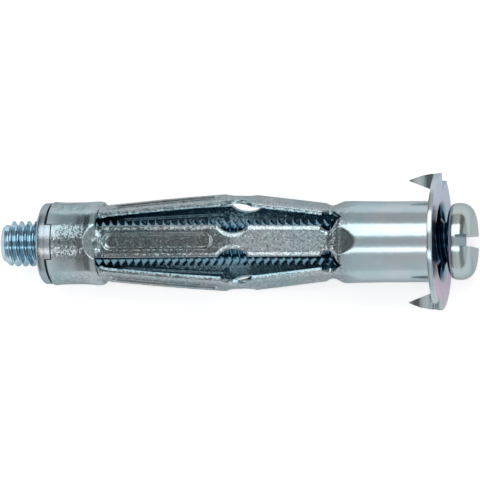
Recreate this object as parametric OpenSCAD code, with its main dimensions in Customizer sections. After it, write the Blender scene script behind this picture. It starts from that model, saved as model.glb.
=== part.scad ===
// Hollow wall anchor: a drawn sheet sleeve with a pronged flange and five
// folding legs, a threaded nut keyed into its far end, and the machine screw
// that runs through both.
//
// Everything is drawn about the anchor's own axis first. That axis is X, with
// X = 0 on the wall side of the flange and the screw head at +X. lay_down()
// then rests the anchor on the flange's rim and the nut's edge, at Z = 0.

/* [Sleeve] */
// Length of the anchor body, flange and nut plate included
body_len = 52; // [51.8:0.1:52.4]
// Thickness of the steel sheet
sheet = 0.65; // [0.55:0.05:0.7]
// Outer radius of the round tube behind the flange
tube_r = 5.15; // [5.1:0.05:5.2]
// Outer radius of the ring that holds the nut
collar_r = 5.3; // [5.25:0.05:5.35]
// How far the ring's two ends flare out
collar_flare = 0.14; // [0.05:0.01:0.16]

/* [Flange] */
// Radius of the flange
flange_r = 8.7; // [8.5:0.05:8.9]
// Length of each prong in front of the flange
prong_len = 3.65; // [2.5:0.05:4]
// Radius at which a prong's root begins
prong_root_r = 6.5; // [6.3:0.05:6.8]
// Radius of a prong's point
prong_tip_r = 7.75; // [7.4:0.05:7.9]
// How far round the rim the blank of a prong is cut, across the radius
notch_reach = 3.6; // [3:0.05:3.8]

/* [Legs] */
// Number of legs round the sleeve
leg_count = 5; // [5:1:5]
// Width of a leg
leg_w = 4.1; // [3.9:0.05:4.2]
// Width of the waist where a leg folds
waist_w = 1.8; // [1.5:0.05:2]
// Width of the neck where a leg leaves the tube
neck_w = 2.05; // [1.8:0.05:2.2]
// Distance from the axis to the outside of a leg at its fold
fold_r = 6.08; // [5.96:0.02:6.16]
// Width of the bevel along a leg's long edges
bevel_w = 0.5; // [0.3:0.05:0.6]
// Depth of that bevel
bevel_d = 0.42; // [0.25:0.02:0.5]
// Width of the groove pressed into the longer half of a leg
groove_w = 1.9; // [1.6:0.05:2.1]
// Length of that groove
groove_len = 14; // [12:0.5:14.5]
// Depth of that groove
groove_d = 0.35; // [0.2:0.05:0.4]

/* [Nut] */
// Thickness of the nut's plate
plate_t = 1.15; // [1:0.05:1.2]
// Radius of the nut's plate
plate_r = 5.25; // [5.2:0.05:5.3]
// Length of the nut's barrel inside the sleeve
barrel_len = 3.6; // [3:0.1:3.7]
// Width of the two keys that stop the nut turning
key_w = 4.4; // [3.8:0.1:4.6]

/* [Screw] */
// Radius of the screw over its thread's crests
screw_r = 2.95; // [2.9:0.01:2.98]
// Distance between two crests
pitch = 1; // [0.9:0.05:1.1]
// Depth of the thread
thread_d = 0.57; // [0.4:0.01:0.6]
// Length under the head
screw_len = 58.5; // [57:0.5:60]
// Radius of the head
head_r = 4.87; // [4.75:0.01:4.95]
// Height of the head
head_h = 3.1; // [3:0.05:3.5]
// Gap between the flange and the head
head_gap = 1.1; // [0.8:0.05:1.3]
// Width of the driver slot
slot_w = 1.55; // [1.4:0.05:1.7]
// Depth of the driver slot
slot_d = 1.85; // [1.6:0.05:1.9]

/* [Hidden] */
$fn = 96;

// Small overlap that keeps joined solids joined
eps = 0.05;
leg_pitch = 360 / leg_count;
seam_turn = 2.2;

// Nut and the ring round it, along the axis
nut_face = sheet - body_len;
plate_back = nut_face + plate_t;
plate_chamfer = 0.45;
nut_gap = 0.25;
collar_start = plate_back + nut_gap;
collar_end = -43.5;
collar_in_r = collar_r - sheet;
key_len = 0.9;
key_slack = 0.05;
barrel_slack = 0.02;
running_gap = 0.05;

// Pressed flats, where the round wall meets the flat legs
flat_start_r = 4.86;
flat_len = 2.7;
tube_start = -11.75;
tube_flat_len = 2;
tube_flat_r = 4.98;
tube_flare = 0.1;
tube_in_r = tube_r - sheet;

// Outside of a leg as [along the axis, from the axis], ring end first
fold_a = -25.3;
neck_a = -13.5;
leg_outside = [
    [collar_end - 0.8, 4.98],
    [collar_end - 0.1, flat_start_r],
    [-43.1, 4.58],
    [-42.4, 4.57],
    [-36, 5.22],
    [-31.7, 5.63],
    [-27.8, 5.93],
    [fold_a, fold_r],
    [neck_a, 4.62],
    [-12.9, 4.68],
    [-11.9, 4.98],
    [-11.1, 5.08],
];
leg_inside = [for (i = [len(leg_outside) - 1:-1:0]) leg_outside[i] - [0, sheet]];

// Round bites that leave the waist and the neck
waist_bite_r = 2.25;
neck_bite_r = 2.15;
slot_end_r = 1.9;
slot_end_a = -13.05;
slot_end_out = 12;

// Groove, along the line from the leg's root to the crest before the fold
groove_mid_a = -35.4;
groove_mid_r = 5.27;
groove_slope = 5.3;
groove_r = (groove_w * groove_w / 4 + groove_d * groove_d) / (2 * groove_d);

// Screw head and point
head_seat = sheet + head_gap;
head_top = head_seat + head_h;
head_edge_r = 0.9;
head_round = 1.7;
head_flat_r = head_r - head_round;
tip_a = head_seat - screw_len;
tip_r = 1.9;
tip_len = 1.1;

// One tooth of the thread as [from the axis, along the axis in pitches]
tooth = [[screw_r - thread_d, 0], [screw_r, 0.44], [screw_r, 0.56]];
teeth = floor((screw_len - tip_len) / pitch);

// Lying down: the flange's wall-side rim and the corner of the nut's plate
// both touch the ground
rest_a = nut_face + plate_chamfer;
lie_tilt = atan((flange_r - plate_r) / -rest_a);
lie_z = flange_r * cos(lie_tilt);
low_x = tip_a * cos(lie_tilt) - tip_r * sin(lie_tilt);
high_x = head_top * cos(lie_tilt) + head_flat_r * sin(lie_tilt);
lie_x = -(low_x + high_x) / 2;

// Points of a quarter arc about a centre, from one angle to another
function arc(centre, r, from, to, steps = 8) =
    [for (i = [0:steps]) centre + r * [cos(from + (to - from) * i / steps), sin(from + (to - from) * i / steps)]];

// Turns a solid of revolution about Z into one about the anchor's axis, its seam a little off the underside
module on_axis() {
    rotate([0, 90, 0])
        rotate([0, 0, seam_turn])
            rotate_extrude()
                children();
}

// Ring of copies, one per leg
module round_legs(turn = 0) {
    for (i = [0:leg_count - 1])
        rotate([i * leg_pitch + turn, 0, 0])
            children();
}

// Puts the finished anchor on the ground
module lay_down() {
    translate([lie_x, 0, lie_z])
        rotate([0, -lie_tilt, 0])
            children();
}

// Half-space outside one pressed flat: the flat leaves the round wall at
// from_a and is low_r from the axis at to_a
module outside_flat(from_a, from_r, to_a, low_r, inward) {
    run = to_a - from_a;
    slope = atan((low_r - from_r) / run);
    translate([from_a, 0, from_r - inward])
        rotate([0, -slope, 0])
            translate([run > 0 ? -3 : run * 2, -6, 0])
                cube([abs(run) * 2 + 3, 12, 4]);
}

module collar_flats(inward) {
    round_legs()
        outside_flat(collar_end - flat_len, collar_r + 0.02, collar_end, flat_start_r, inward);
}

// Ring that holds the nut: flared ends, five pressed flats, two key notches
module collar() {
    difference() {
        on_axis()
            polygon([
                [0, collar_start],
                [collar_r + collar_flare, collar_start],
                [collar_r, collar_start + 1.2],
                [collar_r, collar_end - 1.7],
                [collar_r + collar_flare, collar_end - 0.6],
                [collar_r + collar_flare, collar_end - 0.15],
                [collar_r + collar_flare - 0.15, collar_end],
                [0, collar_end],
            ]);
        collar_flats(0);
        difference() {
            on_axis()
                polygon([
                    [0, collar_start - 1],
                    [collar_in_r, collar_start - 1],
                    [collar_in_r, collar_end + 1],
                    [0, collar_end + 1],
                ]);
            collar_flats(sheet);
        }
        for (turn = [0, 180])
            rotate([turn, 0, 0])
                translate([collar_start - 1, -key_w / 2 - key_slack, 0])
                    cube([key_len - nut_gap + key_slack + 1, key_w + 2 * key_slack, 8]);
    }
}

// Flat strip of a leg, bent along its length
module leg_strip() {
    rotate([90, 0, 0])
        linear_extrude(height = leg_w, center = true)
            polygon(concat(leg_outside, leg_inside));
}

// Wedge that bevels one long edge between two points of the outside line
module edge_wedge(from, to) {
    run = to - from;
    slope = atan(run[1] / run[0]);
    translate([from[0], 0, from[1]])
        rotate([0, -slope, 0])
            rotate([90, 0, 90])
                translate([0, 0, -0.2])
                    linear_extrude(height = norm(run) + 0.4)
                        polygon([
                            [leg_w / 2 - bevel_w, 0],
                            [leg_w / 2 - bevel_w, 1],
                            [leg_w / 2 + 1, 1],
                            [leg_w / 2 + 1, -bevel_d * (1 + 1 / bevel_w)],
                        ]);
}

module edge_wedges() {
    for (i = [3:7])
        for (side = [0, 1])
            mirror([0, side, 0])
                edge_wedge(leg_outside[i], leg_outside[i + 1]);
}

// Round-ended bar along the groove, whose lower side is the groove's floor
module groove_bar(r) {
    half = (groove_len - groove_w) / 2;
    translate([groove_mid_a, 0, groove_mid_r])
        rotate([0, -groove_slope, 0])
            translate([0, 0, groove_r - groove_d]) {
                translate([-half, 0, 0])
                    rotate([0, 90, 0])
                        cylinder(r = r, h = 2 * half);
                for (end = [-half, half])
                    translate([end, 0, 0])
                        sphere(r = r);
            }
}

// The same sheet bulges inwards under the groove
module groove_back() {
    intersection() {
        groove_bar(groove_r + sheet);
        translate([groove_mid_a, 0, groove_mid_r])
            rotate([0, -groove_slope, 0])
                translate([-groove_len, -leg_w / 2, -sheet - groove_d])
                    cube([2 * groove_len, leg_w, sheet]);
    }
}

module bites() {
    for (side = [-1, 1]) {
        translate([fold_a, side * (waist_w / 2 + waist_bite_r), 0])
            cylinder(r = waist_bite_r, h = slot_end_out);
        translate([neck_a + 0.4, side * (neck_w / 2 + neck_bite_r), 0])
            cylinder(r = neck_bite_r, h = slot_end_out);
    }
}

module grooved_strip() {
    difference() {
        union() {
            leg_strip();
            groove_back();
        }
        groove_bar(groove_r);
    }
}

module bevelled_strip() {
    difference() {
        grooved_strip();
        edge_wedges();
    }
}

module leg() {
    difference() {
        bevelled_strip();
        bites();
    }
}

// Legs, trimmed where they run into the round tube and the ring
module legs() {
    intersection() {
        round_legs()
            leg();
        on_axis()
            polygon([
                [0, collar_end - 0.8],
                [collar_r - 0.05, collar_end - 0.8],
                [collar_r, -43],
                [fold_r + 0.8, -33],
                [fold_r + 0.8, -18],
                [tube_r + 0.02, -11.9],
                [tube_r - 0.02, -11],
                [0, -11],
            ]);
    }
}

// Tube and flange, rolled out of one wall, with a rounded mouth
module tube_and_flange() {
    mouth_r = sheet + 0.15;
    difference() {
        on_axis()
            polygon(concat(
                [
                    [0, tube_start],
                    [tube_r + tube_flare, tube_start],
                    [tube_r + tube_flare, tube_start + 0.9],
                    [tube_r, tube_start + 4],
                    [tube_r - 0.03, -6],
                    [tube_r, -0.3],
                ],
                arc([tube_r + 0.3, -0.3], 0.3, 180, 90, 4),
                [
                    [flange_r, 0],
                    [flange_r, sheet - 0.1],
                    [flange_r - 0.1, sheet],
                    [0, sheet],
                ]
            ));
        round_legs()
            outside_flat(tube_start + tube_flat_len, tube_r + 0.05, tube_start, tube_flat_r, 0);
        difference() {
            on_axis()
                polygon(concat(
                    [[0, tube_start - 1], [tube_in_r, tube_start - 1]],
                    arc([tube_in_r + mouth_r, sheet - mouth_r], mouth_r, 180, 90, 6),
                    [[tube_in_r + mouth_r, sheet + 1], [0, sheet + 1]]
                ));
            round_legs()
                outside_flat(tube_start + tube_flat_len, tube_r + 0.05, tube_start, tube_flat_r, sheet);
        }
        round_legs(leg_pitch / 2)
            translate([slot_end_a, 0, 0])
                cylinder(r = slot_end_r, h = slot_end_out);
    }
}

// What is cut from the rim beside one prong, seen along the axis
module notch() {
    lean = (sqrt(flange_r * flange_r - notch_reach * notch_reach) - prong_root_r) / notch_reach;
    translate([-1, 0, 0])
        rotate([90, 0, 90])
            linear_extrude(height = sheet + 2)
                polygon([
                    [prong_root_r + lean * sheet, -sheet],
                    [prong_root_r + lean * 2 * notch_reach, -2 * notch_reach],
                    [flange_r + 3, -2 * notch_reach],
                    [flange_r + 3, -sheet],
                ]);
}

// The blank bent forward into a spike, one edge still the rim's arc
module prong() {
    translate([0, 0, -sheet])
        linear_extrude(height = sheet)
            polygon([
                [sheet - 0.1, prong_root_r],
                [-prong_len, prong_tip_r],
                [-prong_len * 0.7, prong_tip_r + (flange_r - prong_tip_r) * 0.52],
                [-prong_len * 0.35, prong_tip_r + (flange_r - prong_tip_r) * 0.84],
                [0, flange_r - 0.02],
                [sheet - 0.1, flange_r - 0.02],
            ]);
}

module sleeve() {
    color("#c3c8c6")
        lay_down() {
            collar();
            legs();
            difference() {
                tube_and_flange();
                for (turn = [0, 180])
                    rotate([turn, 0, 0])
                        notch();
            }
            for (turn = [0, 180])
                rotate([turn, 0, 0])
                    prong();
        }
}

module nut() {
    bore_r = screw_r + running_gap;
    barrel_r = collar_in_r - barrel_slack;
    color("#b4b8b4")
        lay_down() {
            on_axis()
                polygon([
                    [bore_r + 0.3, nut_face],
                    [plate_r - plate_chamfer, nut_face],
                    [plate_r, nut_face + plate_chamfer],
                    [plate_r, plate_back],
                    [barrel_r, plate_back],
                    [barrel_r, plate_back + barrel_len - 0.3],
                    [barrel_r - 0.3, plate_back + barrel_len],
                    [bore_r, plate_back + barrel_len],
                    [bore_r, nut_face + 0.3],
                ]);
            intersection() {
                on_axis()
                    polygon([
                        [barrel_r - eps, plate_back - eps],
                        [plate_r, plate_back - eps],
                        [plate_r, plate_back + key_len],
                        [barrel_r - eps, plate_back + key_len],
                    ]);
                translate([plate_back - 1, -key_w / 2, -8])
                    cube([3, key_w, 16]);
            }
        }
}

module screw() {
    color("#a9b7bb")
        lay_down()
            difference() {
                on_axis()
                    polygon(concat(
                        [
                            [0, tip_a],
                            [tip_r, tip_a],
                            [screw_r - thread_d, tip_a + tip_len - 0.5],
                        ],
                        [
                            for (i = [0:teeth - 1])
                                for (point = tooth)
                                    [point[0], tip_a + tip_len - 0.4 + (i + point[1]) * pitch]
                        ],
                        [
                            [screw_r - thread_d, head_seat],
                            [head_r - head_edge_r, head_seat],
                        ],
                        arc([head_r - head_edge_r, head_seat + head_edge_r], head_edge_r, -60, 0, 4),
                        arc([head_r - head_round, head_top - head_round], head_round, 0, 90, 8),
                        [[0, head_top]]
                    ));
                translate([head_top - slot_d, -slot_w / 2, -head_r - 1])
                    cube([slot_d + 1, slot_w, 2 * head_r + 2]);
            }
}

sleeve();
nut();
screw();
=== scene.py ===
"""Hollow wall anchor: pierced sheet sleeve, keyed nut and pan-head machine screw, lying on a pale floor."""

from __future__ import annotations

import logging
import math
from dataclasses import dataclass, field
from enum import Enum

import bmesh
import bpy
import numpy as np
from mathutils import Matrix, Vector


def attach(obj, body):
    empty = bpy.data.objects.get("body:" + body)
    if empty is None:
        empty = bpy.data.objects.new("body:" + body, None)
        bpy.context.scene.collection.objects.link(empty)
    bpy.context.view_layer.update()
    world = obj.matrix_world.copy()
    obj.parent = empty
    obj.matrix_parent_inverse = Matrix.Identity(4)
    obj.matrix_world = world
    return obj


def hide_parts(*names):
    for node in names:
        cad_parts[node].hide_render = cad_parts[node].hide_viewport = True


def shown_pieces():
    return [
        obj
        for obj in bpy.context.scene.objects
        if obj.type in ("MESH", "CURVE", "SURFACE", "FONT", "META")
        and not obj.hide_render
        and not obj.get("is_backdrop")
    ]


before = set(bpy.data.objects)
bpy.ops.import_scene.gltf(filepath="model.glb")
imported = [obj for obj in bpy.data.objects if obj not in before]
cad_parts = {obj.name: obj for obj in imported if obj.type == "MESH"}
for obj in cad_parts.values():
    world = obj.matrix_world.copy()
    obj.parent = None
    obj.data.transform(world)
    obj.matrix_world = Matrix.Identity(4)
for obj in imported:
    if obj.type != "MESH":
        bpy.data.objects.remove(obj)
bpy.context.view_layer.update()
LOG = logging.getLogger("anchor")
# a millimetre in metres
MM = 0.001
# points nearer than WELD become one, and edges shorter than SLIVER go, both in metres
WELD = 2e-6
SLIVER = 1e-7
# slack when two worked-out places or angles are compared
TINY = 1e-6
Line = tuple[tuple[float, float], ...]
Fade = tuple[float, float]


class Body(Enum):
    """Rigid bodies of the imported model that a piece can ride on."""

    SLEEVE = "sleeve"
    SCREW = "screw"


# ---------------------------------------------------------------- shapes in numbers


@dataclass(frozen=True)
class Rest:
    """How the anchor lies: tilted about Y until the flange's rim and the nut's edge touch the floor.

    The anchor's own frame has the axis along X with 0 on the flange's wall side, in millimetres. The nut's
    plate touches at edge_a. The model ends at the screw's tip, tip_a, and at the head's flat top, head_a.
    These are the solids' own sizes, so the pieces lie where the solids do.
    """

    flange_r: float = 8.7
    plate_r: float = 5.25
    edge_a: float = -50.9
    tip_a: float = -56.75
    tip_r: float = 1.9
    head_a: float = 4.85
    head_flat_r: float = 3.17

    def tilt(self) -> float:
        """Returns the axis's slope in radians."""
        return math.atan((self.flange_r - self.plate_r) / -self.edge_a)

    def place(self, points: np.ndarray) -> np.ndarray:
        """Turns points of the anchor's own frame about Y by the tilt, then moves them onto the floor.

        Args:
            points: array of (n, 3), in millimetres, as along, across, up.

        Returns:
            The points in the row frame, in metres.
        """
        c, s = math.cos(self.tilt()), math.sin(self.tilt())
        low = self.tip_a * c - self.tip_r * s
        high = self.head_a * c + self.head_flat_r * s
        x = points[:, 0] * c - points[:, 2] * s - (low + high) / 2
        z = points[:, 0] * s + points[:, 2] * c + self.flange_r * c
        return np.stack([x, points[:, 1], z], 1) * MM

    def back(self, points: np.ndarray) -> np.ndarray:
        """Undoes place(): moves the points off the floor and turns them by the tilt the other way.

        Args:
            points: array of (n, 3) in the row frame, in metres.

        Returns:
            The points in the anchor's own frame, in millimetres.
        """
        zero = self.place(np.zeros((1, 3)))[0]
        x, y, z = ((points - zero) / MM).T
        c, s = math.cos(self.tilt()), math.sin(self.tilt())
        return np.stack([x * c + z * s, y, z * c - x * s], 1)


REST = Rest()
# edges bent more than this many degrees stay sharp
CREASE = 32.0
# the two prongs' angles from the top leg, turning from +Z toward -Y
PRONGS = (math.pi / 2, 3 * math.pi / 2)


def smooth(x: np.ndarray, low: float, high: float) -> np.ndarray:
    """Returns 0 below low, 1 above high and the cubic 3t^2 - 2t^3 between."""
    t = np.clip((x - low) / (high - low), 0.0, 1.0)
    return t * t * (3 - 2 * t)


def arc(ca: float, cr: float, radius: float, start: float, stop: float, steps: int) -> np.ndarray:
    """Points (a, r) of a circle about (ca, cr), at equal angles from start to stop in degrees.

    Args:
        ca: centre along the axis.
        cr: centre's distance from the axis.
        radius: the arc's radius.
        start: first angle, 0 along the axis and 90 outward.
        stop: last angle.
        steps: number of chords.

    Returns:
        Array of (steps + 1, 2).
    """
    t = np.radians(np.linspace(start, stop, steps + 1))
    return np.stack([ca + radius * np.cos(t), cr + radius * np.sin(t)], 1)


def on_line(a: np.ndarray, line: Line) -> np.ndarray:
    """Returns the sizes at places a on a broken line of (place, size) points, level beyond its ends."""
    return np.interp(a, *np.array(line).T)


def between(stops: list[float], step: float) -> np.ndarray:
    """Every stop, with equal steps between each two.

    Args:
        stops: places in order.
        step: the longest step.

    Returns:
        Array of places, from the first stop to the last.
    """
    parts = []
    for low, high in zip(stops[:-1], stops[1:]):
        count = max(2, math.ceil(abs(high - low) / step) + 1)
        parts.append(np.linspace(low, high, count)[:-1])
    return np.concatenate(parts + [np.array(stops[-1:])])


def grid_faces(rows: int, cols: int, wrap: bool = False, offset: int = 0) -> np.ndarray:
    """Quads of a grid numbered row by row: (i, j), (i + 1, j), (i + 1, j + 1), (i, j + 1).

    Args:
        rows: number of rows of points.
        cols: number of points in a row.
        wrap: joins the last column to the first.
        offset: number of the grid's first point.

    Returns:
        Array of (faces, 4) of point numbers.
    """
    i, j = np.meshgrid(np.arange(rows - 1), np.arange(cols if wrap else cols - 1), indexing="ij")
    nxt = (j + 1) % cols
    quads = np.stack([i * cols + j, (i + 1) * cols + j, (i + 1) * cols + nxt, i * cols + nxt], -1)
    return quads.reshape(-1, 4) + offset


# inside and hollow are painted shade, film is the film's tint that also paints light, pressed is grain
MARKS = ("inside", "film", "pressed", "hollow")


@dataclass
class Shell:
    """A closed surface in the anchor's own frame.

    A mark is one number a vertex. inside is 1 where painted shade is mixed into recesses and inner walls,
    and hollow is 1 where a stronger painted shade stands for a gap that keeps the light out. film is 1 under
    the coloured film, whose pale tint also paints light on the flange's face, and pressed is 1 where a die
    has roughened the sheet.
    """

    verts: np.ndarray
    faces: np.ndarray
    marks: dict[str, np.ndarray] = field(default_factory=dict)

    def turned(self, turn: float) -> Shell:
        """Turns the shell about the axis: (a, y, z) goes to (a, y cos t - z sin t, y sin t + z cos t).

        Args:
            turn: the angle t in radians.

        Returns:
            The turned shell, with the same marks.
        """
        spin = np.array([
            [1, 0, 0],
            [0, math.cos(turn), -math.sin(turn)],
            [0, math.sin(turn), math.cos(turn)],
        ])
        return Shell(self.verts @ spin.T, self.faces, self.marks)


def spun(profile: np.ndarray, steps: int) -> Shell:
    """Carries a closed profile of (a, r) round the axis: point = (a, r sin t, r cos t), t in equal steps.

    Args:
        profile: array of (n, 2); the loop closes from the last point to the first.
        steps: number of steps round the axis.

    Returns:
        The shell.
    """
    t = np.arange(steps) * 2 * math.pi / steps
    a = np.repeat(profile[:, 0], steps)
    r = np.repeat(profile[:, 1], steps)
    turn = np.tile(t, len(profile))
    verts = np.stack([a, r * np.sin(turn), r * np.cos(turn)], 1)
    loop = np.vstack([np.arange(len(profile) * steps).reshape(len(profile), steps), np.arange(steps)])
    quads = np.stack([loop[:-1], loop[1:], np.roll(loop[1:], -1, 1), np.roll(loop[:-1], -1, 1)], -1)
    return Shell(verts, quads.reshape(-1, 4))


def round_corners(mesh: bpy.types.Mesh, crease: float, clean: bool) -> None:
    """Shades a mesh smooth, but for its edges bent more than crease degrees.

    Args:
        mesh: the mesh to finish.
        crease: the angle in degrees.
        clean: also merges doubles and points the faces outward.
    """
    bm = bmesh.new()
    bm.from_mesh(mesh)
    if clean:
        bmesh.ops.remove_doubles(bm, verts=bm.verts, dist=WELD)
        bmesh.ops.dissolve_degenerate(bm, edges=bm.edges, dist=SLIVER)
        bmesh.ops.recalc_face_normals(bm, faces=bm.faces)
    limit = math.radians(crease)
    for edge in bm.edges:
        edge.smooth = len(edge.link_faces) == 2 and edge.calc_face_angle(0.0) < limit
    for face in bm.faces:
        face.smooth = True
    bm.to_mesh(mesh)
    bm.free()


def make_piece(name: str, shells: list[Shell], crease: float = CREASE) -> bpy.types.Object:
    """Joins closed shells into one object in the row frame.

    Args:
        name: the piece's name.
        shells: the shells, in the anchor's own frame.
        crease: edges bent more than this many degrees stay sharp.

    Returns:
        The new object, at the origin, merged and with its faces pointing out.
    """
    starts = np.cumsum([0] + [len(shell.verts) for shell in shells[:-1]])
    faces = np.concatenate([shell.faces + start for shell, start in zip(shells, starts)])
    mesh = bpy.data.meshes.new(name)
    mesh.from_pydata(REST.place(np.concatenate([shell.verts for shell in shells])), [], faces.tolist())
    for mark in MARKS:
        values = np.concatenate([shell.marks.get(mark, np.zeros(len(shell.verts))) for shell in shells])
        if values.any():
            mesh.attributes.new(mark, "FLOAT", "POINT").data.foreach_set("value", values.astype(np.float32))
    round_corners(mesh, crease, True)
    piece = bpy.data.objects.new(name, mesh)
    bpy.context.scene.collection.objects.link(piece)
    return piece


# ---------------------------------------------------------------- finishes


def linear(hex_colour: str) -> tuple[float, float, float, float]:
    """Turns an sRGB colour into linear light, by the standard's own curve.

    Args:
        hex_colour: the colour as # and six hex digits.

    Returns:
        Red, green, blue and an alpha of 1.
    """
    srgb = np.array([int(hex_colour[i : i + 2], 16) for i in (1, 3, 5)]) / 255
    value = np.where(srgb <= 0.04045, srgb / 12.92, ((srgb + 0.055) / 1.055) ** 2.4)
    return (*value.tolist(), 1.0)


def add_node(
    tree: bpy.types.NodeTree, kind: str, settings: dict[str, object] | None = None, **inputs: object
) -> bpy.types.Node:
    """Adds one shader node.

    Args:
        tree: the material's or the world's node tree.
        kind: the node's type name without ShaderNode.
        settings: attributes to set on the node; stops are a ramp's places and hex colours, in order.
        inputs: socket values by name, with underscores for spaces, or by an underscore and the socket's
            number; an output socket is linked, anything else is set.

    Returns:
        The new node.
    """
    node = tree.nodes.new("ShaderNode" + kind)
    for key, value in (settings or {}).items():
        if key != "stops":
            setattr(node, key, value)
            continue
        elements = node.color_ramp.elements
        for place, _ in value[1:-1]:
            elements.new(place)
        for element, (place, colour) in zip(elements, value):
            element.position = place
            element.color = linear(colour)
    for key, value in inputs.items():
        place = int(key[1:]) if key[1:].isdigit() else key.replace("_", " ")
        if isinstance(value, bpy.types.NodeSocket):
            tree.links.new(value, node.inputs[place])
        else:
            node.inputs[place].default_value = value
    return node


@dataclass(frozen=True)
class ZincPlate:
    """Electroplated zinc over steel, with a thin chromate film.

    Zinc plate is a grey, fairly bright metal. Where a die pressed the sheet, it shows a fine sparkling
    grain. In recesses and on inner walls a bluer colour is mixed in as painted shade, and an unlit gap gets a
    stronger painted shade. The film adds a faint cast that wanders over several millimetres, and where it is
    thick it runs from blue through violet to pink; its colours are also pale, which paints light on the
    flange's face.
    """

    name: str
    # the plain metal with a cool and a warm cast, the painted shade of recesses, the colour at grazing light,
    # and the stronger painted shade of an unlit gap
    base: str = "#A2AFB4"
    cast: str = "#96ABB0"
    warm: str = "#A8AFB2"
    painted_shade: str = "#82A3B0"
    edge: str = "#C4C6C8"
    hollow: str = "#2F4B63"
    roughness: float = 0.19
    # real grain is 0.05 to 0.1 mm, too fine to be seen here, so it is drawn coarser
    grain_mm: float = 0.16
    grain_lean: float = 0.2
    grain_shade: float = 0.52
    smooth_share: float = 0.12
    cloud_mm: float = 6.0
    cloud_places: tuple[float, float, float] = (0.35, 0.5, 0.68)
    # the film's colours, in order across film_reach_mm either side of the middle: the chromate film's own
    # tint, made pale so that it also paints light on the flange's face
    film: tuple[tuple[float, str], ...] = (
        (0.1, "#DFC9DD"), (0.35, "#D3C4DE"), (0.7, "#C6CAE4"), (0.9, "#BCCBE0"),
    )
    film_reach_mm: float = 9.0

    def build(self) -> bpy.types.Material:
        """The plated metal as a node material, on Object coordinates and the piece's marks.

        The colour runs from cast through base to warm with a slow noise, and each mark mixes its own colour
        in. Every grain is a cell that darkens by its own share of grain_shade and leans the normal by its
        own share of grain_lean: fully where the sheet is pressed, and by smooth_share elsewhere.

        Returns:
            The material.
        """
        material = bpy.data.materials.new(self.name)
        material.use_nodes = True
        tree = material.node_tree
        tree.nodes.clear()
        where = add_node(tree, "TexCoord").outputs["Object"]
        cloud = add_node(
            tree, "TexNoise", Vector=where, Scale=1 / (self.cloud_mm * MM), Detail=2.0, Roughness=0.5,
        )
        grain = add_node(tree, "TexVoronoi", Vector=where, Scale=1 / (self.grain_mm * MM)).outputs["Color"]
        casts = list(zip(self.cloud_places, (self.cast, self.base, self.warm)))
        colour = add_node(tree, "ValToRGB", {"stops": casts}, Fac=cloud.outputs["Fac"]).outputs["Color"]
        place = add_node(tree, "SeparateXYZ", _0=where)
        reach = self.film_reach_mm * MM
        across = add_node(
            tree, "MapRange",
            Value=place.outputs["Y"], From_Min=-reach, From_Max=reach, To_Min=0.0, To_Max=1.0,
        )
        film = add_node(tree, "ValToRGB", {"stops": self.film}, Fac=across.outputs["Result"]).outputs["Color"]
        # inside and hollow mix in painted shade; film mixes in the film's tint, which also paints light
        for mark, other in (("film", film), ("inside", linear(self.painted_shade)), ("hollow", linear(self.hollow))):
            share = add_node(tree, "Attribute", {"attribute_name": mark}).outputs["Fac"]
            mix = add_node(tree, "Mix", {"data_type": "RGBA"}, _0=share, _6=colour, _7=other)
            colour = mix.outputs[2]
        pressed = add_node(tree, "Attribute", {"attribute_name": "pressed"}).outputs["Fac"]
        pressed = add_node(tree, "MapRange", Value=pressed, To_Min=self.smooth_share, To_Max=1.0)
        pressed = pressed.outputs["Result"]
        lean = add_node(tree, "Math", {"operation": "MULTIPLY"}, _0=pressed, _1=self.grain_lean)
        facet = add_node(tree, "VectorMath", {"operation": "SUBTRACT"}, _0=grain, _1=(0.5, 0.5, 0.5))
        facet = add_node(
            tree, "VectorMath", {"operation": "SCALE"}, _0=facet.outputs["Vector"], Scale=lean.outputs[0],
        )
        normal = add_node(
            tree, "VectorMath", {"operation": "ADD"},
            _0=add_node(tree, "NewGeometry").outputs["Normal"], _1=facet.outputs["Vector"],
        )
        normal = add_node(tree, "VectorMath", {"operation": "NORMALIZE"}, _0=normal.outputs["Vector"])
        amount = add_node(tree, "Math", {"operation": "MULTIPLY"}, _0=pressed, _1=self.grain_shade)
        speck = add_node(tree, "SeparateXYZ", _0=grain).outputs["X"]
        speck = add_node(tree, "Math", {"operation": "MULTIPLY"}, _0=speck, _1=amount.outputs[0])
        keep = add_node(tree, "Math", {"operation": "SUBTRACT"}, _0=1.0, _1=speck.outputs[0])
        shaded = add_node(tree, "VectorMath", {"operation": "SCALE"}, _0=colour, Scale=keep.outputs[0])
        shader = add_node(
            tree, "BsdfPrincipled",
            Base_Color=shaded.outputs["Vector"], Metallic=1.0, Roughness=self.roughness,
            Specular_Tint=linear(self.edge), Normal=normal.outputs["Vector"],
        )
        add_node(tree, "OutputMaterial", Surface=shader.outputs["BSDF"])
        return material


# Drawn and pierced strip: bright where the dies slid over it, sparkling with grain where they pressed it.
SHEET_ZINC = ZincPlate("zinc_plated_sheet")
# Steel with a coarser cut face under the zinc, which leaves it greyer and duller, with a broken sparkle.
NUT_ZINC = ZincPlate(
    "zinc_plated_nut", base="#8F979A", cast="#8796A0", warm="#9A9593", roughness=0.24, grain_lean=0.5,
)
# Rolled thread under a clear blue passivate: smooth flanks that shine cold and blue, with next to no grain.
# Where the nut and the sleeve cover it, a bluer painted shade is mixed in.
THREAD_ZINC = ZincPlate(
    "blue_passivated_zinc", base="#9DBBCB", cast="#8DB0C2", warm="#A9BDC9", painted_shade="#7297AB", roughness=0.16,
    grain_lean=0.05, grain_shade=0.2,
)
# Cold-formed head: a smooth face, greyer than the thread, with soft highlights and hardly any grain. Its
# slot and its underside get a painted shade.
HEAD_ZINC = ZincPlate(
    "zinc_plated_head", base="#9BAAAD", cast="#90A4A8", warm="#A0A9A7", painted_shade="#5F8B98", roughness=0.17,
    grain_lean=0.04, grain_shade=0.15,
)


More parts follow.
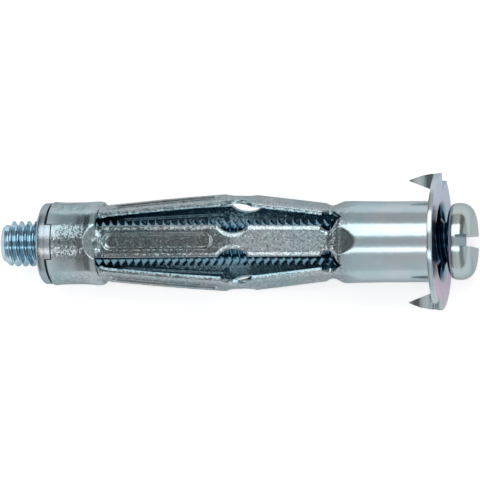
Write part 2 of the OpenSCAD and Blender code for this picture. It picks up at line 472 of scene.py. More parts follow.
def dress(piece: bpy.types.Object, material: bpy.types.Material) -> None:
    """Gives a piece one material."""
    piece.data.materials.clear()
    piece.data.materials.append(material)


# ---------------------------------------------------------------- sleeve


@dataclass
class Sleeve:
    """Pierced and drawn sheet: flange, tube, five legs and the ring that holds the nut.

    Sizes are in millimetres. A name that ends in _a is a place along the axis, in _r a distance from the
    axis, in _line a broken line of (place, size), and in _fade two places between which something comes or
    goes.
    """

    sheet: float = 0.65
    legs: int = 5
    # a leg, with the round holes that leave its waist and its neck
    leg_half: float = 2.05
    waist_a: float = -25.3
    waist_hole: float = 2.74
    neck_a: float = -13.0
    neck_hole: float = 1.75
    leg_line: Line = (
        (-44.6, 5.1), (-43.8, 5.04), (-43.25, 4.86), (-42.7, 4.76), (-41.8, 4.8), (-36.0, 5.36),
        (-31.7, 5.72), (-27.8, 5.99), (-26.2, 6.07), (waist_a, 6.09), (-24.4, 6.02), (-22.8, 5.84),
        (-18.7, 5.33), (-14.6, 4.8), (-13.4, 4.63), (-12.6, 4.76), (-11.9, 5.02), (-11.2, 5.12),
    )
    width_line: Line = ((-44.0, leg_half), (-28.0, leg_half), (-22.0, 2.0), (-14.0, 1.96))
    # its edges: a wide bevel, and a tight radius outside it
    bevel_w: float = 0.55
    bevel_d: float = 0.13
    edge_w: float = 0.14
    edge_d: float = 0.13
    edge_fade: Fade = (-12.6, -11.6)
    # its pressed groove, and the curve across it where it leaves the ring
    bead_start: float = -42.6
    bead_end: float = -27.8
    bead_half: float = 1.13
    bead_depth: float = 0.26
    bead_side: float = 0.42
    curl_r: float = 4.9
    curl_fade: Fade = (-43.6, -42.2)
    # the tube, the flats where it turns into legs, and how far the dies' grain runs
    tube_r: float = 5.15
    tube_line: Line = ((-13.0, 5.22), (-11.4, 5.24), (-9.6, 5.2), (-6.0, tube_r), (0.0, tube_r))
    press_line: Line = ((-12.2, 4.86), (-11.2, 4.97), (-9.7, 5.21), (-9.0, 5.6))
    round_fade: Fade = (-13.2, -11.3)
    grain_fade: Fade = (-12.5, -9.5)
    # the flange: radii of its fillet, its rim's two edges and its mouth, and where the film starts on it
    flange_r: float = 8.7
    fillet: float = 0.35
    wall_edge: float = 0.1
    room_edge: float = 0.12
    mouth: float = 0.8
    film_fade: Fade = (5.0, 5.4)
    # the ring: its flare, the sloping flats pressed in it, and where round a leg the grain goes, in radians
    ring_start: float = -49.86
    ring_end: float = -43.5
    ring_r: float = 5.3
    flare_line: Line = (
        (-49.95, 0.14), (-49.3, 0.05), (-48.6, 0.01), (-46.1, 0.0), (-45.0, 0.05), (-44.3, 0.13),
        (-43.7, 0.13), (-43.5, 0.04),
    )
    flat_line: Line = ((-45.4, 5.6), (-45.1, 5.37), (-43.5, 4.92))
    flat_fade: Fade = (0.28, 0.52)
    key_half: float = 2.25
    key_depth: float = 0.65
    # a prong: its length, its bend, its inner and outer edges and its hollow
    prong_root_r: float = 6.5
    prong_len: float = 3.62
    prong_bend: tuple[float, float] = (0.74, 0.12)
    prong_low_line: Line = ((-prong_len, 7.7), (-0.6, prong_root_r + 0.02), (0.65, prong_root_r))
    prong_high_line: Line = ((-prong_len, 7.74), (-3.2, 7.95), (-2.0, 8.38), (-0.8, 8.6), (0.65, 8.62))
    prong_curl: float = 0.09
    # the notch that it was cut from, and the gap between them at mid height
    notch_reach: float = 3.6
    notch_gap: float = 0.1
    notch_mid_r: float = 7.6

    def half_turn(self) -> float:
        """Returns half the angle between two legs, in radians."""
        return math.pi / self.legs

    def mid_height(self, a: np.ndarray) -> np.ndarray:
        """Returns the distance from the axis to a leg's outside: straight from ring to fold to neck."""
        return on_line(a, self.leg_line)

    def half_width(self, a: np.ndarray) -> np.ndarray:
        """Half width of a leg: the strip's own, less the round holes that make its waist and its neck.

        A hole of radius h is centred between two legs. It meets a leg at height z where
        y = (z sin t - sqrt(h^2 - d^2)) / cos t, with t half a leg's turn and d the distance along the axis.
        Past the neck's hole the edge is where two legs meet, y = z tan t.

        Args:
            a: places along the axis.

        Returns:
            Half width at each place.
        """
        t = self.half_turn()
        z = self.mid_height(a)
        width = on_line(a, self.width_line)
        for centre, radius in ((self.waist_a, self.waist_hole), (self.neck_a, self.neck_hole)):
            d = np.abs(a - centre)
            chord = np.sqrt(np.clip(radius**2 - d**2, 0, None))
            edge = (z * math.sin(t) - chord) / math.cos(t)
            narrowed = np.minimum(width, edge)
            if centre == self.neck_a:
                narrowed = np.where(a > centre, edge, narrowed)
            width = np.where(d < radius, narrowed, width)
        return np.where(a >= self.neck_a + self.neck_hole, z * math.tan(t), width)

    def across(self, width: np.ndarray) -> np.ndarray:
        """Places of the columns across a leg, closest over its edges and the groove's sides.

        Near an edge a column keeps its distance from the edge in millimetres. Between, it keeps its share of
        what is left of the half width.

        Args:
            width: half widths, one a row.

        Returns:
            Array of (rows, columns) of y.
        """
        edge = np.array([0.0, 0.03, 0.08, 0.14, 0.3, 0.5, 0.55, 0.64])
        middle = np.array([0.13, 0.26, 0.38, 0.47, 0.52, 0.57, 0.62, 0.67, 0.72, 0.77, 0.82, 0.9])
        middle = np.concatenate([-middle[::-1], [0.0], middle])
        left = -width[:, None] + edge[None, :]
        inner = (width - edge[-1])[:, None]
        return np.concatenate([left, middle[None, :] * inner, -left[:, ::-1]], 1)

    def bead(self, a: np.ndarray, y: np.ndarray) -> np.ndarray:
        """Depth of the pressed groove: a flat floor along a segment, with round ends and sides that slope in.

        With d the distance inward from the groove's outline, the depth is bead_depth times smooth(d), which
        is 0 at the outline and 1 at bead_side.

        Args:
            a: places along the axis.
            y: places across the leg.

        Returns:
            Depth at each place.
        """
        nearest = np.clip(a, self.bead_start + self.bead_half, self.bead_end - self.bead_half)
        inward = self.bead_half - np.hypot(a - nearest, y)
        return self.bead_depth * smooth(inward, 0.0, self.bead_side)

    def wall(self, rows: np.ndarray, inner: bool) -> np.ndarray:
        """One side of the sheet from a leg's root to the flange, for the leg on top.

        In a leg the point is (a, y, height - bevel - groove - curl). Only the root has the curl, which is
        curl_r - sqrt(curl_r^2 - y^2). From the neck on the point turns into the tube's (a, r sin t, r cos t),
        pressed flat where it would stand above a sloping plane.

        Args:
            rows: places along the axis.
            inner: the wall's inside instead of its outside.

        Returns:
            Array of (rows, columns, 3).
        """
        width = self.half_width(rows)
        y = self.across(width)
        a = np.repeat(rows[:, None], y.shape[1], 1)
        height = self.mid_height(a)
        from_edge = width[:, None] - np.abs(y)
        fade = 1 - smooth(rows, *self.edge_fade)[:, None]
        drop = self.bevel_d * np.clip(1 - from_edge / self.bevel_w, 0, 1)
        drop = (drop + self.edge_d * np.clip(1 - from_edge / self.edge_w, 0, 1) ** 2) * fade
        curl = self.curl_r - np.sqrt(np.clip(self.curl_r**2 - y**2, 0.1, None))
        flat_z = height - self.bead(a, y) - (1 - smooth(a, *self.curl_fade)) * curl
        flat_z = flat_z - self.sheet if inner else flat_z - drop
        share = y / width[:, None]
        angle = share * self.half_turn()
        radius = on_line(a, self.tube_line)
        press = on_line(a, self.press_line)
        if inner:
            radius = radius - self.sheet
            press = press - self.sheet
        round_y = radius * np.sin(angle)
        round_z = np.minimum(radius * np.cos(angle), press)
        mix = smooth(a, *self.round_fade)
        return np.stack([a, y * (1 - mix) + round_y * mix, flat_z * (1 - mix) + round_z * mix], -1)

    def leg_rows(self) -> np.ndarray:
        """Places along the axis of a leg's rows, close together round its holes' corners and arcs.

        Over a hole the rows are at equal angles round it, from where it meets the strip's own edge.

        Returns:
            Array of places, from the ring to the flange.
        """
        waist_reach, neck_corner = 2.08, -58
        waist = self.waist_a + waist_reach * np.sin(np.radians(np.linspace(-90, 90, 25)))
        neck = self.neck_a + self.neck_hole * np.sin(np.radians(np.linspace(neck_corner, 90, 30)))
        return np.concatenate([
            between([-44.5, -43.8, -43.25, -42.7, -41.3], 0.13),
            np.linspace(-41.3, -29.2, 30)[1:],
            np.linspace(-29.2, waist[0], 15)[1:-1],
            waist,
            np.linspace(waist[-1], neck[0], 20)[1:-1],
            neck,
            between([self.neck_a + self.neck_hole + 0.12, -9.7, -6.0, -0.35], 0.35),
        ])

    def notch(self) -> tuple[float, float, float]:
        """How a notch is cut into the flange's rim, beside its prong.

        Returns:
            How fast its far side leans outward, then its width and the gap at the prong, both as angles.
        """
        close = math.sqrt(self.flange_r**2 - self.notch_reach**2)
        lean = (close - self.prong_root_r) / self.notch_reach
        return lean, math.atan2(self.notch_reach, close), self.notch_gap / self.notch_mid_r

    def rim(self, angle: np.ndarray) -> np.ndarray:
        """Outer radius of the flange by angle: round, but for two notches with a straight sloping side each.

        The side runs from (prong_root_r, 0) to the rim, so r (cos t - lean sin t) = prong_root_r.

        Args:
            angle: angle from the top leg in radians, turning from +Z toward -Y.

        Returns:
            Radius at each angle.
        """
        lean, width, start = self.notch()
        out = np.full_like(angle, self.flange_r)
        for prong in PRONGS:
            t = (prong - angle + math.pi) % (2 * math.pi) - math.pi
            line = self.prong_root_r / np.clip(np.cos(t) - lean * np.sin(t), 0.2, None)
            inside = (t > -start - TINY) & (t < width)
            out = np.where(inside, np.minimum(line, self.flange_r), out)
        return out

    def columns(self, base: np.ndarray) -> np.ndarray:
        """Moves the nearest of the flange's columns onto the corners of the notches.

        Args:
            base: angles of the tube's own columns.

        Returns:
            The moved angles, with two close together at each notch's upright side.
        """
        _, width, start = self.notch()
        upright = 4e-4
        moved = base.copy()
        for prong in PRONGS:
            first = int(np.argmin(np.abs(base - prong - start)))
            moved[first] = prong + start
            moved[first + 1] = prong + start + upright
            moved[int(np.argmin(np.abs(base - prong + width)))] = prong - width
        return moved

    def body_shell(self) -> Shell:
        """The legs, the tube and the flange as one closed sheet.

        A leg's outside and inside run from its root to the end of the tube, and the flange's rows join the
        two round the rim. Copies turned by a leg's turn meet where no hole parts them, and edge strips close
        each hole.

        Returns:
            The shell, with its marks.
        """
        rows = self.leg_rows()
        outer = self.wall(rows, False)
        inner = self.wall(rows, True)
        width = self.half_width(rows)
        share = self.across(width)[-1] / width[-1]
        n, m = outer.shape[:2]
        cut_rows = int((rows < self.neck_a + self.neck_hole - TINY).nonzero()[0].max()) + 2
        index = np.arange(n * m).reshape(n, m)
        faces = [grid_faces(n, m), grid_faces(n, m)[:, ::-1] + n * m]
        for line, step in ((index[:cut_rows, 0], 1), (index[:cut_rows, -1], -1), (index[0], 1)):
            strip = np.stack([line[:-1], line[:-1] + n * m, line[1:] + n * m, line[1:]], 1)
            faces.append(strip[:, ::step])
        verts = np.concatenate([outer.reshape(-1, 3), inner.reshape(-1, 3)])
        # the leg's inner wall is marked inside: painted shade
        inside = np.repeat([0.0, 1.0], n * m)
        pressed = 1 - smooth(verts[:, 0], *self.grain_fade)
        leg = Shell(verts, np.concatenate(faces))
        verts, faces = [], []
        for k in range(self.legs):
            verts.append(leg.turned(k * 2 * self.half_turn()).verts)
            faces.append(leg.faces + k * 2 * n * m)
        flange = self.flange_grid(float(rows[-1]), share)
        verts.append(flange.reshape(-1, 3))
        faces.append(grid_faces(flange.shape[0], flange.shape[1], True, self.legs * 2 * n * m))
        # the film is on the flange's face, painted shade goes into the mouth, and the tube's bore gets the
        # stronger painted shade of an unlit gap
        a, r = flange[..., 0].ravel(), np.hypot(flange[..., 1], flange[..., 2]).ravel()
        film = smooth(a, self.sheet - 0.03, self.sheet - 0.001) * smooth(r, *self.film_fade)
        painted_shade = 1 - smooth(r, self.tube_r - 0.45, self.tube_r)
        gap_shade = (1 - smooth(r, self.tube_r - 0.65, self.tube_r - 0.2)) * smooth(a, -6.0, -2.0)
        none = np.zeros(self.legs * 2 * n * m)
        return Shell(np.concatenate(verts), np.concatenate(faces), {
            "inside": np.concatenate([np.tile(inside, self.legs), painted_shade]),
            "hollow": np.concatenate([none, gap_shade]),
            "pressed": np.concatenate([np.tile(pressed, self.legs), np.zeros(len(a))]),
            "film": np.concatenate([none, film]),
        })

    def flange_grid(self, start_a: float, share: np.ndarray) -> np.ndarray:
        """The flange from the tube's outside, over the rim and through the mouth to the tube's inside.

        Each row is a ring (a, r sin t, r cos t). On the disc, r runs from the fillet to the rim's own radius
        at that angle, so a notch draws the rows in. The fillet, the rim's edges and the mouth are quarter
        circles.

        Args:
            start_a: place of the tube's last row along the axis.
            share: shares of a leg's half turn at which the tube has its columns.

        Returns:
            Array of (rows, columns, 3).
        """
        plain = np.concatenate([(2 * k + share) * self.half_turn() for k in range(self.legs)])
        snapped = self.columns(plain)
        rim = self.rim(snapped)
        disc = (0.15, 0.35, 0.6, 0.85)
        snap_by = 0.35
        # each ring: its place, its radius, and how far its columns have moved to the notches' corners
        rings: list[tuple[float, np.ndarray | float, float]] = [(start_a, self.tube_r, 0.0)]
        size = self.fillet
        for t in np.radians(np.linspace(0, 90, 6)):
            rings.append((-size * (1 - math.sin(t)), self.tube_r + size * (1 - math.cos(t)), 0.0))
        base, size = self.tube_r + size, self.wall_edge
        for f in disc:
            rings.append((0.0, base + f * (rim - size - base), min(1.0, f / snap_by)))
        for t in np.radians(np.linspace(0, 90, 5)):
            rings.append((size * (1 - math.cos(t)), rim - size * (1 - math.sin(t)), 1.0))
        size = self.room_edge
        for t in np.radians(np.linspace(0, 90, 5)):
            rings.append((self.sheet - size * (1 - math.sin(t)), rim - size * (1 - math.cos(t)), 1.0))
        base = self.tube_r - self.sheet + self.mouth
        for f in disc[::-1]:
            rings.append((self.sheet, base + f * (rim - size - base), min(1.0, f / snap_by)))
        size = self.mouth
        for t in np.radians(np.linspace(0, 90, 11)):
            rings.append((self.sheet - size * (1 - math.cos(t)), base - size * math.sin(t), 0.0))
        rings.append((start_a, self.tube_r - self.sheet, 0.0))
        rows = []
        for a, radius, snap in rings:
            angle = plain * (1 - snap) + snapped * snap
            y, z = -radius * np.sin(angle), radius * np.cos(angle)
            rows.append(np.stack([np.full_like(angle, a), y, z], 1))
        return np.stack(rows)

    def ring_shell(self) -> Shell:
        """The ring that holds the nut: flared ends, a flat pressed at each leg, two notches for its keys.

        Each outside point is (a, r sin t, r cos t) in its leg's own frame, lowered to the sloping plane of
        the flat where it stands above it. The inside is the same less the sheet.

        Returns:
            The shell, with its marks.
        """
        per_leg = 45
        upright = 2e-3
        angle = np.concatenate([
            k * 2 * self.half_turn() + np.linspace(-1, 1, per_leg, endpoint=False) * self.half_turn()
            for k in range(self.legs)
        ])
        notch = np.zeros_like(angle)
        half = math.asin(self.key_half / self.ring_r)
        for key in (0.0, math.pi):
            turn = (angle - key + math.pi) % (2 * math.pi) - math.pi
            for sign in (-1, 1):
                near = int(np.argmin(np.abs(turn - sign * half)))
                beyond = (near + sign) % len(angle)
                angle[near] = key + sign * half
                angle[beyond] = key + sign * (half + upright)
            turn = (angle - key + math.pi) % (2 * math.pi) - math.pi
            notch = np.where(np.abs(turn) < half + TINY, self.key_depth, notch)
        # shares of the ring's length, close together at its flare, its end and the flat's sloping plane
        share = [0, 0.02, 0.06, 0.12, 0.2, 0.3, 0.5, 0.62, 0.7, 0.76, 0.82, 0.87, 0.91, 0.94, 0.965, 0.985]
        share = np.unique(np.concatenate([share, np.linspace(0.6, 1.0, 22)]))[:, None]
        a = self.ring_start + notch[None, :] + share * (self.ring_end - self.ring_start - notch[None, :])
        local = (angle + self.half_turn()) % (2 * self.half_turn()) - self.half_turn()
        whole = angle - local
        shells, rough = [], []
        for wall in (0.0, self.sheet):
            r = self.ring_r + on_line(a, self.flare_line) - wall
            plane = on_line(a, self.flat_line) - wall
            flat = smooth(r * np.cos(local) - plane, 0.0, 0.05)
            y, z = r * np.sin(local), np.minimum(r * np.cos(local), plane)
            side = y * np.cos(whole) + z * np.sin(whole)
            shells.append(np.stack([a, -side, z * np.cos(whole) - y * np.sin(whole)], -1))
            rough.append((1 - smooth(np.abs(local), *self.flat_fade)) * (1 - 0.85 * flat))
        outer, inside = shells
        rough = np.concatenate([rough[0], rough[1][::-1], rough[0][:1]])
        grid = np.concatenate([outer, inside[::-1], outer[:1]])
        rows = len(outer)
        # the ring's inner wall is marked inside: painted shade
        painted_shade = np.concatenate([np.zeros(rows), np.ones(rows), [0.0]])
        return Shell(grid.reshape(-1, 3), grid_faces(grid.shape[0], grid.shape[1], True), {
            "inside": np.repeat(painted_shade, grid.shape[1]),
            "pressed": rough.ravel(),
        })

    def prong_shell(self) -> Shell:
        """One prong: the blank cut from the notch, bent square to the flange and ending in a point.

        Its outside runs on the flange's front, round a quarter circle and along the axis. The inside runs
        round a smaller circle about the same centre and on at the same distance. Across, it runs from a
        straight inner edge to the rim's arc, and both meet in the point. The plate is a little hollow along
        its length, by prong_curl times the square of the distance from its middle.

        Returns:
            The shell, for the prong on the far side.
        """
        along, across = 24, 9
        centre = 0.1
        reach = np.linspace(-centre, -self.prong_len, along)
        turn = np.radians(np.linspace(0, 90, 10))
        sides = []
        for radius in self.prong_bend:
            bend = np.stack([-centre + radius * np.cos(turn), centre - radius * np.sin(turn)], 1)
            plate = np.stack([reach, np.full(along, centre - radius)], 1)
            sides.append(np.concatenate([[[-centre + radius, 0.4]], bend, plate[1:]]))
        a = sides[0][:, 0]
        share = np.linspace(0, 1, across)
        low = on_line(a, self.prong_low_line)
        high = on_line(a, self.prong_high_line)
        r = low[:, None] + share[None, :] * (high - low)[:, None]
        lift = self.prong_curl * (a + self.prong_len / 2) ** 2 * smooth(-a, 0.0, 0.6)
        grids = []
        for path in sides:
            z = np.repeat((path[:, 1] + lift)[:, None], across, 1)
            grids.append(np.stack([np.repeat(path[:, :1], across, 1), r, z], -1))
        n, m = grids[0].shape[:2]
        index = np.arange(n * m).reshape(n, m)
        loop = np.concatenate([index[0], index[1:, -1], index[-1, ::-1][1:], index[::-1, 0][1:]])
        strip = np.stack([loop[:-1], loop[1:], loop[1:] + n * m, loop[:-1] + n * m], 1)
        faces = [grid_faces(n, m), grid_faces(n, m)[:, ::-1] + n * m, strip]
        return Shell(np.concatenate([grid.reshape(-1, 3) for grid in grids]), np.concatenate(faces))

    def build(self) -> bpy.types.Object:
        """The sleeve: one sheet for legs, tube and flange, the ring, and a prong on each side.

        Returns:
            The sleeve as one piece.
        """
        prong = self.prong_shell()
        shells = [self.body_shell(), self.ring_shell(), prong, prong.turned(math.pi)]
        return make_piece("sleeve_sheet", shells)


# ---------------------------------------------------------------- nut


@dataclass
class Nut:
    """Threaded barrel with a plate and two keys; sizes are named as the sleeve's are."""

    plate_r: float = 5.25
    face_a: float = -51.35
    back_a: float = -50.2
    barrel_r: float = 4.62
    barrel_end: float = -46.6
    bore_r: float = 2.97
    key_half: float = 2.2
    key_end: float = -49.35
    # radii of the edges: the bore's lip, the plate's face and back, and the barrel's end
    lip: float = 0.12
    face_edge: float = 0.42
    back_edge: float = 0.1
    end_edge: float = 0.3

    def build(self) -> bpy.types.Object:
        """The nut: a profile of (a, r) carried round the axis, with a key on two sides.

        Returns:
            The nut as one piece.
        """
        lip_r = self.bore_r + self.face_edge
        profile = np.concatenate([
            [[self.face_a + 0.3, self.bore_r]],
            [[self.face_a + 0.02, self.bore_r + 0.28]],
            arc(self.face_a + self.lip, lip_r, self.lip, -140, -180, 3),
            arc(self.face_a + self.face_edge, self.plate_r - self.face_edge, self.face_edge, 180, 90, 8),
            arc(self.back_a - self.back_edge, self.plate_r - self.back_edge, self.back_edge, 90, 0, 3),
            [[self.back_a, self.barrel_r]],
            arc(self.barrel_end - self.end_edge, self.barrel_r - self.end_edge, self.end_edge, 90, 0, 4),
            [[self.barrel_end, self.bore_r]],
        ])
        key = self.key()
        return make_piece("keyed_nut", [spun(profile, 128), key, key.turned(math.pi)])

    def key(self) -> Shell:
        """One key: an arc-shaped block on the barrel, carried along the axis from the plate.

        Its outline is the arc (r sin t, r cos t) at the plate's radius and, backward, just inside the
        barrel's. The last two outlines shrink a little, which breaks the key's end edge.

        Returns:
            The key at the top.
        """
        sunk = 0.1
        half = math.asin(self.key_half / self.plate_r)
        t = np.linspace(-half, half, 17)
        low = self.barrel_r - sunk
        outline = np.concatenate([
            np.stack([self.plate_r * np.sin(t), self.plate_r * np.cos(t)], 1),
            np.stack([low * np.sin(t[::-1]), low * np.cos(t[::-1])], 1),
        ])
        places = np.array([self.back_a - sunk, self.key_end - 0.08, self.key_end - 0.02, self.key_end])
        scales = np.array([1.0, 1.0, 0.995, 0.985])
        rows = [np.column_stack([np.full(len(outline), a), outline * s]) for a, s in zip(places, scales)]
        n = len(outline)
        half_n = n // 2
        faces = [grid_faces(len(rows), n, True)]
        for row in (0, len(rows) - 1):
            there = np.arange(n) + row * n
            back = there[::-1]
            cap = [there[: half_n - 1], there[1:half_n], back[1:half_n], back[: half_n - 1]]
            faces.append(np.stack(cap, 1))
        return Shell(np.concatenate(rows), np.concatenate(faces))


# ---------------------------------------------------------------- screw


@dataclass
class Screw:
    """Full-thread machine screw with a rounded pan head and a slot; sizes are named as the sleeve's are."""

    pitch: float = 1.0
    crest_r: float = 2.95
    root_r: float = 2.38
    seat_a: float = 1.75
    tip_a: float = -56.72
    tip_r: float = 2.25
    chamfer: float = 0.95
    # where the painted shade begins as the nut covers the thread, and where the stronger painted shade of the
    # tube's bore begins
    cover_fade: Fade = (-52.0, -50.0)
    bore_fade: Fade = (-3.0, -1.0)
    head_r: float = 4.87
    head_h: float = 3.1
    edge_r: float = 0.9
    top_r: float = 1.7
    slot_w: float = 1.55
    slot_d: float = 1.85

    def thread(self) -> Shell:
        """A ribbon wound round the axis: the tooth's profile moves one pitch a turn, as a right-hand thread.

        The point at turn t and place p in the profile is a = tip + pitch (t - 1 + p), held between the tip
        and the head, at the profile's radius but never more than the tip's chamfer allows. Before the tip it
        lies on the axis, and its last point there is on the tip's edge, so the tip is flat.

        Returns:
            The shell, with painted shade where the nut and the sleeve cover it, and stronger painted shade
            near the head.
        """
        steps = 56
        turns = int(math.ceil((self.seat_a - self.tip_a) / self.pitch)) + 2
        place = np.array([0.0, 0.0, 0.06, 0.125, 0.42, 0.455, 0.545, 0.58, 0.875, 0.94, 1.0])
        height = np.array([0.0, 0.0, 0.0, 0.06, 0.9, 1.0, 1.0, 0.9, 0.06, 0.0, 0.0])
        turn = np.arange(turns * steps + 1) / steps
        a = self.tip_a - self.pitch + self.pitch * (turn[:, None] + place[None, :])
        r = self.root_r + (self.crest_r - self.root_r) * height[None, :] + 0 * a
        top = self.seat_a + 1.0
        a_held = np.clip(a, self.tip_a, top)
        limit = self.tip_r + (a_held - self.tip_a) * (self.crest_r - self.tip_r) / self.chamfer
        r = np.minimum(r, limit)
        below = a < self.tip_a
        edge = below & ~np.roll(below, -1, 1)
        r = np.where(edge, self.tip_r, np.where(below | (a > top), 0.0, r))
        angle = -2 * math.pi * turn[:, None] + 0 * a
        grid = np.stack([a_held, r * np.sin(angle), r * np.cos(angle)], -1)
        # painted shade where the nut and the sleeve cover the thread, and stronger painted shade in the
        # tube's bore
        painted_shade = smooth(a_held, *self.cover_fade)
        gap_shade = smooth(a_held, *self.bore_fade)
        marks = {"inside": painted_shade.ravel(), "hollow": gap_shade.ravel()}
        return Shell(grid.reshape(-1, 3), grid_faces(grid.shape[0], grid.shape[1]), marks)

    def head(self) -> bpy.types.Object:
        """The head: a profile of (a, r) carried round the axis, with the slot cut out of it.

        Returns:
            The head as one piece, with painted shade in its slot and on its underside.
        """
        top = self.seat_a + self.head_h
        profile = np.concatenate([
            [[self.seat_a, 0.02], [self.seat_a, self.head_r - self.edge_r - 0.3]],
            arc(self.seat_a + self.edge_r, self.head_r - self.edge_r, self.edge_r, 180 + 20, 90, 10),
            arc(top - self.top_r, self.head_r - self.top_r, self.top_r, 90, 0, 22),
            [[top, 0.02]],
        ])
        solid = make_piece("pan_head", [spun(profile, 144)])
        cutter = make_piece("slot_cutter", [self.slot_block(top)])
        cut = solid.modifiers.new("cut", "BOOLEAN")
        cut.operation = "DIFFERENCE"
        cut.object = cutter
        cut.solver = "EXACT"
        graph = bpy.context.evaluated_depsgraph_get()
        result = bpy.data.meshes.new_from_object(solid.evaluated_get(graph))
        solid.modifiers.clear()
        solid.data = result
        bpy.data.objects.remove(cutter)
        round_corners(solid.data, CREASE, False)
        middle = np.empty(len(result.polygons) * 3, np.float32)
        result.polygons.foreach_get("center", middle)
        a, y, z = REST.back(middle.reshape(-1, 3)).T
        r = np.hypot(y, z)
        in_slot = (np.abs(y) < self.slot_w / 2 + 0.01) & (a > top - self.slot_d - 0.02)
        in_slot &= r < self.head_r - 0.07
        under = (a < self.seat_a + 0.35) & (r < self.head_r - 0.12)
        # the slot and the underside get painted shade
        painted_shade = (in_slot | under).astype(np.float32)
        result.attributes.new("inside", "FLOAT", "FACE").data.foreach_set("value", painted_shade)
        return solid

    def slot_block(self, top: float) -> Shell:
        """A box that cuts the slot: its walls draw in by 2 degrees toward the floor.

        Args:
            top: place of the head's top along the axis.

        Returns:
            The box.
        """
        draw = math.tan(math.radians(2)) * self.slot_d
        rows = []
        for a, less in ((top - self.slot_d, draw), (top + 0.5, 0.0)):
            y, z = self.slot_w / 2 - less, self.head_r + 1
            rows.append([[a, -y, -z], [a, y, -z], [a, y, z], [a, -y, z]])
        faces = np.concatenate([grid_faces(2, 4, True), [[0, 3, 2, 1]], [[4, 5, 6, 7]]])
        return Shell(np.array(rows).reshape(-1, 3), faces)

    def build(self) -> list[bpy.types.Object]:
        """Returns the threaded shank and the head."""
        return [make_piece("threaded_shank", [self.thread()], crease=40.0), self.head()]


# ---------------------------------------------------------------- surroundings


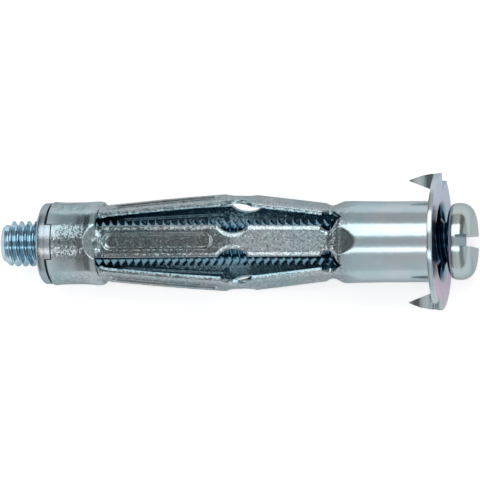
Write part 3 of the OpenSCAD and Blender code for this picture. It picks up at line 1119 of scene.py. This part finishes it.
@dataclass
class Studio:
    """Pale floor, grey room, soft lamps and the camera.

    The lens is in millimetres, other lengths in metres and angles in degrees.
    """

    lens: float = 276.5
    distance: float = 0.470
    toward_head: float = 8.3
    toward_front: float = 2.3
    roll: float = -0.193
    target: tuple[float, float, float] = (0.000665, 0.000246, 0.0090)
    floor_half: float = 1.2
    floor_lift: float = 0.34
    room_level: float = 1.05
    room_side: float = -0.12
    room_least: float = 0.1
    room: tuple[tuple[float, str], ...] = (
        (0.1, "#F0F0F0"), (0.2, "#787878"), (0.31, "#505050"), (0.37, "#E0E0E0"), (0.48, "#FFFFFF"),
        (0.55, "#F0F0F0"), (0.64, "#A0A0A0"), (0.8, "#A0A0A0"), (0.9, "#F4F4F4"),
    )
    reach: float = 0.5

    def floor(self) -> None:
        """A wide pale floor of matt white paper, which keeps the anchor's shadow.

        Paper has no gloss, so it shows no picture of the anchor. A little light of its own, for the camera
        and for reflections only, makes it read white.
        """
        mesh = bpy.data.meshes.new("floor")
        size = self.floor_half
        corners = [(-size, -size, 0), (size, -size, 0), (size, size, 0), (-size, size, 0)]
        mesh.from_pydata(corners, [], [(0, 1, 2, 3)])
        floor = bpy.data.objects.new("floor", mesh)
        bpy.context.scene.collection.objects.link(floor)
        material = bpy.data.materials.new("white_paper")
        material.use_nodes = True
        tree = material.node_tree
        tree.nodes.clear()
        diffuse = add_node(tree, "BsdfDiffuse", Color=linear("#FFFFFF"))
        path = add_node(tree, "LightPath")
        seen = path.outputs["Is Camera Ray"]
        for ray in ("Is Glossy Ray", "Is Transmission Ray"):
            seen = add_node(tree, "Math", {"operation": "MAXIMUM"}, _0=seen, _1=path.outputs[ray]).outputs[0]
        lift = add_node(tree, "Math", {"operation": "MULTIPLY"}, _0=seen, _1=self.floor_lift)
        glow = add_node(tree, "Emission", Color=linear("#FFFFFF"), Strength=lift.outputs[0])
        both = add_node(tree, "AddShader", _0=diffuse.outputs["BSDF"], _1=glow.outputs["Emission"])
        add_node(tree, "OutputMaterial", Surface=both.outputs["Shader"])
        dress(floor, material)
        floor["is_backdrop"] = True

    def world(self) -> None:
        """A grey room round the soft boxes: pale overhead and low at both ends, darker between.

        Its level in a direction (x, y, z) is room_level times a ramp over x, plus room_side y, never below
        room_least.
        """
        world = bpy.data.worlds.new("studio")
        bpy.context.scene.world = world
        world.use_nodes = True
        tree = world.node_tree
        tree.nodes.clear()
        way = add_node(tree, "SeparateXYZ", _0=add_node(tree, "TexCoord").outputs["Generated"])
        along = add_node(tree, "MapRange", Value=way.outputs[0], From_Min=-1.0, From_Max=1.0)
        ramp = add_node(tree, "ValToRGB", {"stops": self.room}, Fac=along.outputs["Result"])
        level = ramp.outputs["Color"]
        level = add_node(tree, "Math", {"operation": "MULTIPLY"}, _0=level, _1=self.room_level)
        level = add_node(
            tree, "Math", {"operation": "MULTIPLY_ADD"},
            _0=way.outputs[1], _1=self.room_side, _2=level.outputs[0],
        )
        level = add_node(tree, "Math", {"operation": "MAXIMUM"}, _0=level.outputs[0], _1=self.room_least)
        back = add_node(tree, "Background", Color=linear("#FFFFFF"), Strength=level.outputs[0])
        add_node(tree, "OutputWorld", Surface=back.outputs["Background"])

    def soft_box(self, name: str, lean: float, along: float, wide: float, high: float, level: float) -> None:
        """Hangs one soft box half a metre away, facing the anchor.

        Args:
            name: the lamp's name.
            lean: degrees from overhead, positive toward the far side.
            along: its place along the floor's X, in metres.
            wide: its size along X, in metres.
            high: its other size, in metres.
            level: its brightness, where 1 is a white sheet in full light.
        """
        turn = math.radians(lean)
        place = Vector((along, self.reach * math.sin(turn), self.reach * math.cos(turn)))
        data = bpy.data.lights.new(name, "AREA")
        data.shape, data.size, data.size_y = "RECTANGLE", wide, high
        data.energy = level * math.pi * wide * high
        lamp = bpy.data.objects.new(name, data)
        lamp.location = place
        lamp.rotation_euler = (-turn, 0.0, 0.0)
        bpy.context.scene.collection.objects.link(lamp)

    def camera(self) -> None:
        """Looks down on the anchor, a little from the head's side, with the axis level in the picture."""
        x, y = math.sin(math.radians(self.toward_head)), -math.sin(math.radians(self.toward_front))
        back = Vector((x, y, math.sqrt(1 - x * x - y * y)))
        data = bpy.data.cameras.new("camera")
        data.lens, data.sensor_width = self.lens, 36.0
        camera = bpy.data.objects.new("camera", data)
        right = Vector((0, 1, 0)).cross(back).normalized()
        up = back.cross(right)
        turn = math.radians(self.roll)
        c, s = math.cos(turn), math.sin(turn)
        right, up = right * c - up * s, up * c + right * s
        camera.matrix_world = Matrix.Translation(Vector(self.target) + back * self.distance) @ Matrix((
            (right.x, up.x, back.x, 0), (right.y, up.y, back.y, 0), (right.z, up.z, back.z, 0), (0, 0, 0, 1),
        ))
        data.clip_start, data.clip_end = 0.01, 10.0
        bpy.context.scene.collection.objects.link(camera)
        bpy.context.scene.camera = camera

    def build(self) -> None:
        """Makes the surroundings."""
        self.floor()
        self.world()
        self.soft_box("box_far", 32.0, -0.03, 0.4, 0.32, 2.2)
        self.soft_box("box_near", -24.0, -0.03, 0.4, 0.11, 2.4)
        self.soft_box("box_end", 0.0, -0.85, 0.35, 0.6, 2.0)
        self.camera()


# ---------------------------------------------------------------- making


def main() -> None:
    """Builds, dresses and places every piece."""
    logging.basicConfig(level=logging.INFO, format="%(name)s: %(message)s")
    view = bpy.context.scene.view_settings
    view.view_transform = "Standard"
    Studio().build()
    sleeve_zinc = SHEET_ZINC.build()
    nut_zinc = NUT_ZINC.build()
    screw_zinc = THREAD_ZINC.build()
    head_zinc = HEAD_ZINC.build()
    sleeve = Sleeve().build()
    dress(sleeve, sleeve_zinc)
    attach(sleeve, Body.SLEEVE.value)
    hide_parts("sleeve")
    nut = Nut().build()
    dress(nut, nut_zinc)
    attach(nut, Body.SLEEVE.value)
    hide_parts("nut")
    for piece, finish in zip(Screw().build(), (screw_zinc, head_zinc)):
        dress(piece, finish)
        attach(piece, Body.SCREW.value)
        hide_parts("screw")
    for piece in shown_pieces():
        if piece.type == "MESH":
            LOG.info("%s: %d faces", piece.name, len(piece.data.polygons))


if __name__ == "__main__":
    main()
